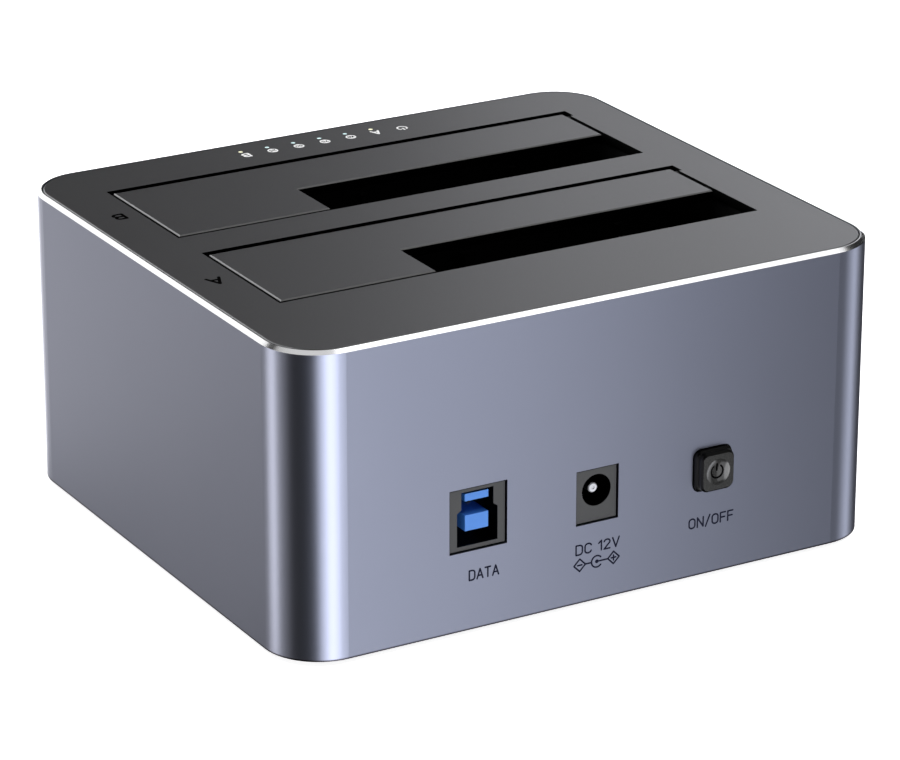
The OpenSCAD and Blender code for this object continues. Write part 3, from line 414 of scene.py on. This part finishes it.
def pin_nickel():
    """Bright turned tip; the rest lies in the bore's shade."""
    f = Finish("pin_nickel", metallic=1.0)
    tip, lines = f.ramp(f.facing("Y"), 0.6, 0.8), f.noise(0.15, 3)
    turned = f.mix(lines, (0.93, 0.93, 0.93), (0.98, 0.98, 0.98))
    f.set("Base Color", f.mix(tip, (0.03, 0.03, 0.03), turned))
    f.set("Roughness", f.between(lines, 0.7, 0.8))
    f.bump(lines, 0.002, 0.4)
    return f.made


def foot_rubber():
    f = Finish("foot_rubber", Specular_IOR_Level=0.3)
    grain, dust = f.noise(0.35, 4), f.noise(2.5, 3)
    f.set("Base Color", f.mix(f.ramp(dust, 0.5, 0.8), (0.012, 0.012, 0.012), (0.03, 0.029, 0.028)))
    f.set("Roughness", f.between(grain, 0.75, 0.95))
    f.bump(grain, 0.03, 0.6)
    return f.made


def light_guide(name, core, rim, strength):
    """A polished rod's end, lit from below and brighter in patches."""
    f = Finish(name, Roughness=0.15, Emission_Strength=strength)
    patch = f.noise(0.5, 2)
    shade = f.mix(patch, rim, core)
    f.set("Base Color", shade)
    f.set("Emission Color", shade)
    return f.made


def ink(name, colour):
    """Screen print, a little uneven."""
    f = Finish(name, Specular_IOR_Level=0.0)
    patch = f.noise(0.3, 3)
    f.set("Base Color", f.mix(patch, tuple(c*0.85 for c in colour), colour))
    f.set("Roughness", f.between(patch, 0.5, 0.65))
    return f.made


def dress(made, *names):
    for name in names:
        mesh = nodes[name].data
        mesh.materials.clear()
        mesh.materials.append(made)


# New meshes

def add_piece(name, verts, faces, made, body, smooth=False):
    mesh = bpy.data.meshes.new(name)
    mesh.from_pydata([Vector(v)*MM for v in verts], [], faces)
    build = bmesh.new()
    build.from_mesh(mesh)
    bmesh.ops.remove_doubles(build, verts=build.verts, dist=1e-8)
    bmesh.ops.recalc_face_normals(build, faces=build.faces)
    build.to_mesh(mesh)
    build.free()
    for polygon in mesh.polygons:
        polygon.use_smooth = smooth
    mesh.materials.append(made)
    piece = bpy.data.objects.new(name, mesh)
    bpy.context.scene.collection.objects.link(piece)
    if body:
        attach(piece, body)
    return piece


# Lettering: the union of round-ended strokes and discs as one thin plate

def arc(x, y, rx, ry, start, end, steps):
    return [
        (x + rx*math.cos(math.radians(start + (end - start)*k/steps)),
         y + ry*math.sin(math.radians(start + (end - start)*k/steps)))
        for k in range(steps + 1)
    ]


def glyph(letter):
    """Width and strokes of a letter whose height is 1."""
    r, n = 0.28, 0.26
    bowl = arc(r, 1 - r, r, r, 90, 0, 6) + arc(r, r, r, r, 0, -90, 6)
    return {
        " ": (0.2, []),
        "/": (0.4, [[(0, -0.08), (0.4, 1.08)]]),
        "A": (0.6, [[(0, 0), (0.3, 1), (0.6, 0)], [(0.1, 0.32), (0.5, 0.32)]]),
        "B": (0.54, [
            [(0, 0), (0, 1), (0.27, 1)] + arc(0.27, 0.76, 0.24, 0.24, 90, -90, 8) + [(0, 0.52)],
            [(0.27, 0.52)] + arc(0.27, 0.26, 0.27, 0.26, 90, -90, 8) + [(0, 0)],
        ]),
        "C": (0.54, [arc(r, 1 - r, r, r, 15, 180, 8) + arc(r, r, r, r, 180, 345, 8)]),
        "D": (0.56, [[(0, 0), (0, 1)] + bowl + [(0, 0)]]),
        "F": (0.48, [[(0, 0), (0, 1), (0.48, 1)], [(0, 0.5), (0.42, 0.5)]]),
        "N": (0.56, [[(0, 0), (0, 1), (0.56, 0), (0.56, 1)]]),
        "O": (0.56, [
            arc(r, 1 - r, r, r, 0, 180, 10) + arc(r, r, r, r, 180, 360, 10) + [(2*r, 1 - r)],
        ]),
        "T": (0.54, [[(0, 1), (0.54, 1)], [(0.27, 0), (0.27, 1)]]),
        "V": (0.58, [[(0, 1), (0.29, 0), (0.58, 1)]]),
        "0": (0.52, [
            arc(n, 1 - n, n, n, 0, 180, 8) + arc(n, n, n, n, 180, 360, 8) + [(2*n, 1 - n)],
        ]),
        "1": (0.24, [[(0, 0.76), (0.24, 1), (0.24, 0)]]),
        "2": (0.52, [arc(n, 1 - n, n, n, 170, -30, 8) + [(0, 0), (0.52, 0)]]),
        "5": (0.52, [
            [(0.48, 1), (0.06, 1), (0.02, 0.54)] + arc(0.25, 0.31, 0.27, 0.31, 115, -150, 10),
        ]),
        "7": (0.5, [[(0, 1), (0.5, 1), (0.16, 0)]]),
    }[letter]


def text(words, x, y, height, width):
    """Strokes of a line of letters, centred on x and standing on y."""
    strokes, pen = [], 0.0
    for letter in words:
        wide, lines = glyph(letter)
        strokes += [[(pen + px, py) for px, py in line] for line in lines]
        pen += wide + LETTER_GAP
    natural = pen - LETTER_GAP
    across = width/natural
    return [[(x + (px - natural/2)*across, y + py*height) for px, py in line] for line in strokes]


def ring(x, y, r, start=0, end=360):
    return [arc(x, y, r, r, start, end, 28)]


def power_mark(x, y, r):
    return ring(x, y, r, 90 + 38, 90 + 322) + [[(x, y + 0.1*r), (x, y + 1.15*r)]]


def capsule(a, b, r):
    """Outline of a round-ended stroke from a to b."""
    turn = math.degrees(math.atan2(b[1] - a[1], b[0] - a[0]))
    return arc(*b, r, r, turn - 90, turn + 90, 6) + arc(*a, r, r, turn + 90, turn + 270, 6)


def drawn(strokes, width):
    """Outlines of the strokes' straight runs."""
    runs = [run for line in strokes for run in zip(line, line[1:])]
    return [capsule(a, b, width/2) for a, b in runs if math.dist(a, b) > 1e-6]


def disc(x, y, r):
    sides = 32
    return arc(x, y, r, r, 0, 360*(1 - 1/sides), sides - 1)


def plate(outlines):
    """Corners (u, v, w) and faces of one closed plate that covers all the outlines."""
    inside_only, nearest = 1, 1e-5
    corners, loops = [], []
    for outline in outlines:
        loops.append(list(range(len(corners), len(corners) + len(outline))))
        corners += [Vector(p) for p in outline]
    flat, _, triangles, _, _, origins = delaunay_2d_cdt(corners, [], loops, inside_only, nearest)
    kept = [tuple(t) for t, origin in zip(triangles, origins) if origin]
    sides = [side for t in kept for side in ((t[0], t[1]), (t[1], t[2]), (t[2], t[0]))]
    known = set(sides)
    count = len(flat)
    verts = [(p.x, p.y, INK_THICK) for p in flat] + [(p.x, p.y, -INK_SUNK) for p in flat]
    faces = list(kept) + [tuple(count + i for i in reversed(t)) for t in kept]
    faces += [(b, a, count + a, count + b) for a, b in sides if (b, a) not in known]
    used = sorted({i for face in faces for i in face})
    new = {old: k for k, old in enumerate(used)}
    return [verts[i] for i in used], [tuple(new[i] for i in face) for face in faces]


def print_on(name, outlines, where, made, body="dock"):
    verts, faces = plate(outlines)
    add_piece(name, [where(*v) for v in verts], faces, made, body)


def on_rear(u, v, w):
    return -u, REAR_Y + w, v


def on_deck(u, v, w):
    return u, v, Z_TOP + w


def on_discs(u, v, w):
    lift = 0.02
    return on_deck(u, v, w + lift)


def rear_print(made):
    base, high = 10.9, 1.9
    strokes = []
    for words, x, wide in (("DATA", -24.5, 6.2), ("DC 12V", 0, 9.4), ("ON/OFF", 25.15, 9.8)):
        strokes += text(words, x, base, high, wide)
    # Polarity symbol: a minus and a plus in diamonds, the socket with its pin, and leads between
    z, r, socket_r = 8.76, 1.25, 1.15
    minus, socket, plus = -3.88, -0.14, 3.52
    for x in (minus, plus):
        strokes.append([(x - r, z), (x, z + r), (x + r, z), (x, z - r), (x - r, z)])
    strokes += [[(-4.35, z), (-3.4, z)]]
    strokes += [[(plus - 0.5, z), (plus + 0.5, z)], [(plus, z - 0.5), (plus, z + 0.5)]]
    strokes += ring(socket, z, socket_r, 42, 318) + ring(socket, z, 0.22)
    strokes += [[(minus + r, z), (socket - socket_r, z)], [(socket, z), (plus - r, z)]]
    print_on("rear_print", drawn(strokes, 0.32), on_rear, made)


def deck_print(white, black):
    first, pitch, row = 17.75, 5.95, -48.85
    bold = text("B", first, row - 0.92, 1.84, 1.4)
    bold += text("A", first - 5*pitch, row - 1.0, 2.0, 1.6)
    marks = drawn(bold, 0.45) + drawn(power_mark(first - 6*pitch, row, 1.0), 0.34)
    discs, shares = [], []
    for step, share in enumerate(("25", "50", "75", "100")):
        x = first - (step + 1)*pitch
        discs.append(disc(x, row, 1.1))
        shares += text(share, x, row - 0.42, 0.84, 1.3)
    print_on("lamp_letters", marks, on_deck, white)
    print_on("lamp_discs", discs, on_deck, white)
    print_on("lamp_shares", drawn(shares, 0.15), on_discs, black)
    bays = text("A", 56.6, 12.5, 3.2, 2.6) + text("B", 56.3, -28.7, 2.7, 2.0)
    print_on("bay_letters", drawn(bays, 0.62), on_deck, black)


def button_mark(made):
    low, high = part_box("power_button")
    x, z, face = (low.x + high.x)/2/MM, (low.z + high.z)/2/MM, high.y/MM
    curve = (DISH_R**2 + DISH_DEPTH**2)/(2*DISH_DEPTH)

    def in_dimple(u, v, w):
        sunk = math.sqrt(curve**2 - u*u - v*v) - (curve - DISH_DEPTH)
        return x - u, face - sunk + w, z + v

    mark = drawn(power_mark(0, -0.05, 1.3), 0.34)
    print_on("power_button_mark", mark, in_dimple, made, body="power_button")


# Springs and the ribbon, finer than their solids

def tube(path, axis):
    """A round wire along a path, closed at both ends; axis lies across the path everywhere."""
    verts, faces = [], []
    last, sides = len(path) - 1, WIRE_SIDES
    for i, at in enumerate(path):
        along = (path[min(i + 1, last)] - path[max(i - 1, 0)]).normalized()
        across = along.cross(axis).normalized()
        up = across.cross(along)
        for k in range(sides):
            a = 2*math.pi*k/sides
            verts.append(at + WIRE_R*(math.cos(a)*across + math.sin(a)*up))
    for i in range(last):
        for k in range(sides):
            a, b = i*sides + k, i*sides + (k + 1) % sides
            faces.append((a, b, b + sides, a + sides))
    faces.append(tuple(reversed(range(sides))))
    faces.append(tuple(last*sides + k for k in range(sides)))
    return verts, faces


def joint_of(body):
    return next(j for j in frame["record"]["behaviour"]["joints"] if j["child"] == body)


def flap_spring(name, made):
    """Coil round the hinge pin, with one leg down towards the well and the other under the flap's
    plate.
    """
    hinge = Vector(joint_of(name)["pos_m"])/MM
    start, pitch, curls, r, leg, steps = 30.0, 0.9, 6 + 3/8, 1.1, 9.0, 32
    end = start + pitch*curls
    plate_z, clear = -0.2, 0.05
    under = plate_z - WIRE_R - clear
    path = [Vector((start, -r, -leg + k)) for k in range(int(leg))]
    for k in range(int(steps*curls) + 1):
        a = math.radians(180 - 360*k/steps)
        path.append(Vector((start + pitch*k/steps, r*math.cos(a), r*math.sin(a))))
    # The wire leaves the coil at a slant, bends, and runs on under the flap's plate
    bend = r*math.sqrt(2) - under
    path += [Vector((end, bend - 0.15, under + 0.12)), Vector((end, bend + 0.2, under))]
    path += [Vector((end, y, under)) for y in (4, 6, 8, leg)]
    verts, faces = tube([hinge + p for p in path], Vector((1, 0, 0)))
    piece = add_piece(name + "_spring_wire", verts, faces, made, None, smooth=True)
    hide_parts(name + "_spring")
    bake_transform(piece)


def switch_spring(made):
    low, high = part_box("power_switch_spring")
    x, z, r = (low.x + high.x)/2/MM, (low.z + high.z)/2/MM, 2.5
    from_y, to_y = low.y/MM + WIRE_R, high.y/MM - WIRE_R
    steps, curls = 40, 4
    path = [
        Vector((x + r*math.cos(2*math.pi*k/steps), from_y + (to_y - from_y)*k/(steps*curls),
                z + r*math.sin(2*math.pi*k/steps)))
        for k in range(steps*curls + 1)
    ]
    verts, faces = tube(path, Vector((0, 1, 0)))
    piece = add_piece("switch_spring_wire", verts, faces, made, "dock", smooth=True)
    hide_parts("power_switch_spring")
    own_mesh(piece)


def ribbon(made):
    """A flat lead of eight joined wires that bows forward between its sockets."""
    low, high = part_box("ribbon_cable")
    bow, thick = 2.0, 0.3
    rear = high.y/MM - thick/2
    wires, steps, across = 8, 40, 4
    pitch = (high.x - low.x)/MM/wires
    verts, faces = [], []
    edge = []
    for i in range(wires*across + 1):
        wave = 0.5 + 0.5*abs(math.sin(math.pi*i/across))
        edge.append((low.x/MM + pitch*i/across, thick/2*wave))
    outline = edge + [(x, -h) for x, h in reversed(edge)]
    count = len(outline)
    for k in range(steps + 1):
        z = low.z/MM + (high.z - low.z)/MM*k/steps
        y = rear - bow*(1 - math.cos(2*math.pi*k/steps))/2
        verts += [(x, y + h, z) for x, h in outline]
    for k in range(steps):
        for i in range(count):
            a, b = k*count + i, k*count + (i + 1) % count
            faces.append((a, b, b + count, a + count))
    for first in (0, steps*count):
        last = first + count - 1
        for i in range(len(edge) - 1):
            faces.append((first + i, first + i + 1, last - 1 - i, last - i))
    piece = add_piece("ribbon_lead", verts, faces, made, "dock", smooth=True)
    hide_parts("ribbon_cable")


def dress_all():
    black = moulded("black_plastic", (0.008, 0.008, 0.009))
    steel = metal("steel", (0.62, 0.62, 0.64), stretch=(0.1, 1, 1))
    gold = metal("contact_gold", (0.83, 0.62, 0.26), rough=(0.18, 0.3))
    cans = metal("can_aluminium", (0.75, 0.75, 0.77), rough=(0.25, 0.4), stretch=(1, 1, 0.1))
    white = moulded("white_plastic", (0.75, 0.75, 0.72))
    green = board_green()
    dress(anodised_aluminium(), "housing")
    dress(deck_plastic(), "top_panel", "front_flap", "rear_flap")
    dress(black, "front_drive_well", "rear_drive_well", "front_sata_socket", "rear_sata_socket",
          "power_switch", "clone_switch", "bridge_chip")
    dress(moulded("base_plastic", (0.012, 0.012, 0.013), grain_size=0.5, depth=0.03), "base_cover")
    dress(cap_plastic(), "power_button", "clone_button")
    dress(port_plastic(), "usb_shell", "dc_jack_body")
    dress(insert_plastic(), "usb_tongue")
    dress(steel, "front_flap_pin", "rear_flap_pin", "dc_jack_contact",
          "base_screws", "board_screws", "well_screws", "lamp_board_screws")
    dress(pin_nickel(), "dc_jack_pin")
    dress(gold, "front_sata_contacts", "rear_sata_contacts", "usb_contacts")
    dress(green, "main_board", "lamp_board")
    dress(foot_rubber(), "feet")
    dress(white, "power_switch_plunger", "clone_switch_stem", "ribbon_sockets")
    dress(moulded("lamp_white", (0.85, 0.82, 0.7)), "lamp_chips")
    dress(light_guide("guide_warm", (1.0, 0.99, 0.72), (0.85, 0.83, 0.55), 0.3),
          "drive_light_guides")
    dress(light_guide("guide_cool", (0.72, 0.93, 0.93), (0.5, 0.7, 0.72), 0.25),
          "progress_light_guides")
    dress(moulded("ferrite", (0.09, 0.09, 0.09), rough=(0.6, 0.8), depth=0.03), "regulator_coils")
    dress(cans, "crystal", "capacitors")
    for name in ("front_flap", "rear_flap"):
        flap_spring(name, steel)
    switch_spring(steel)
    ribbon(white)
    slate = ink("slate_ink", (0.014, 0.015, 0.027))
    pale = ink("white_ink", (0.95, 0.95, 0.95))
    dark = ink("black_ink", (0.002, 0.002, 0.002))
    rear_print(slate)
    deck_print(pale, dark)
    button_mark(dark)


make_camera()
make_studio()
dress_all()
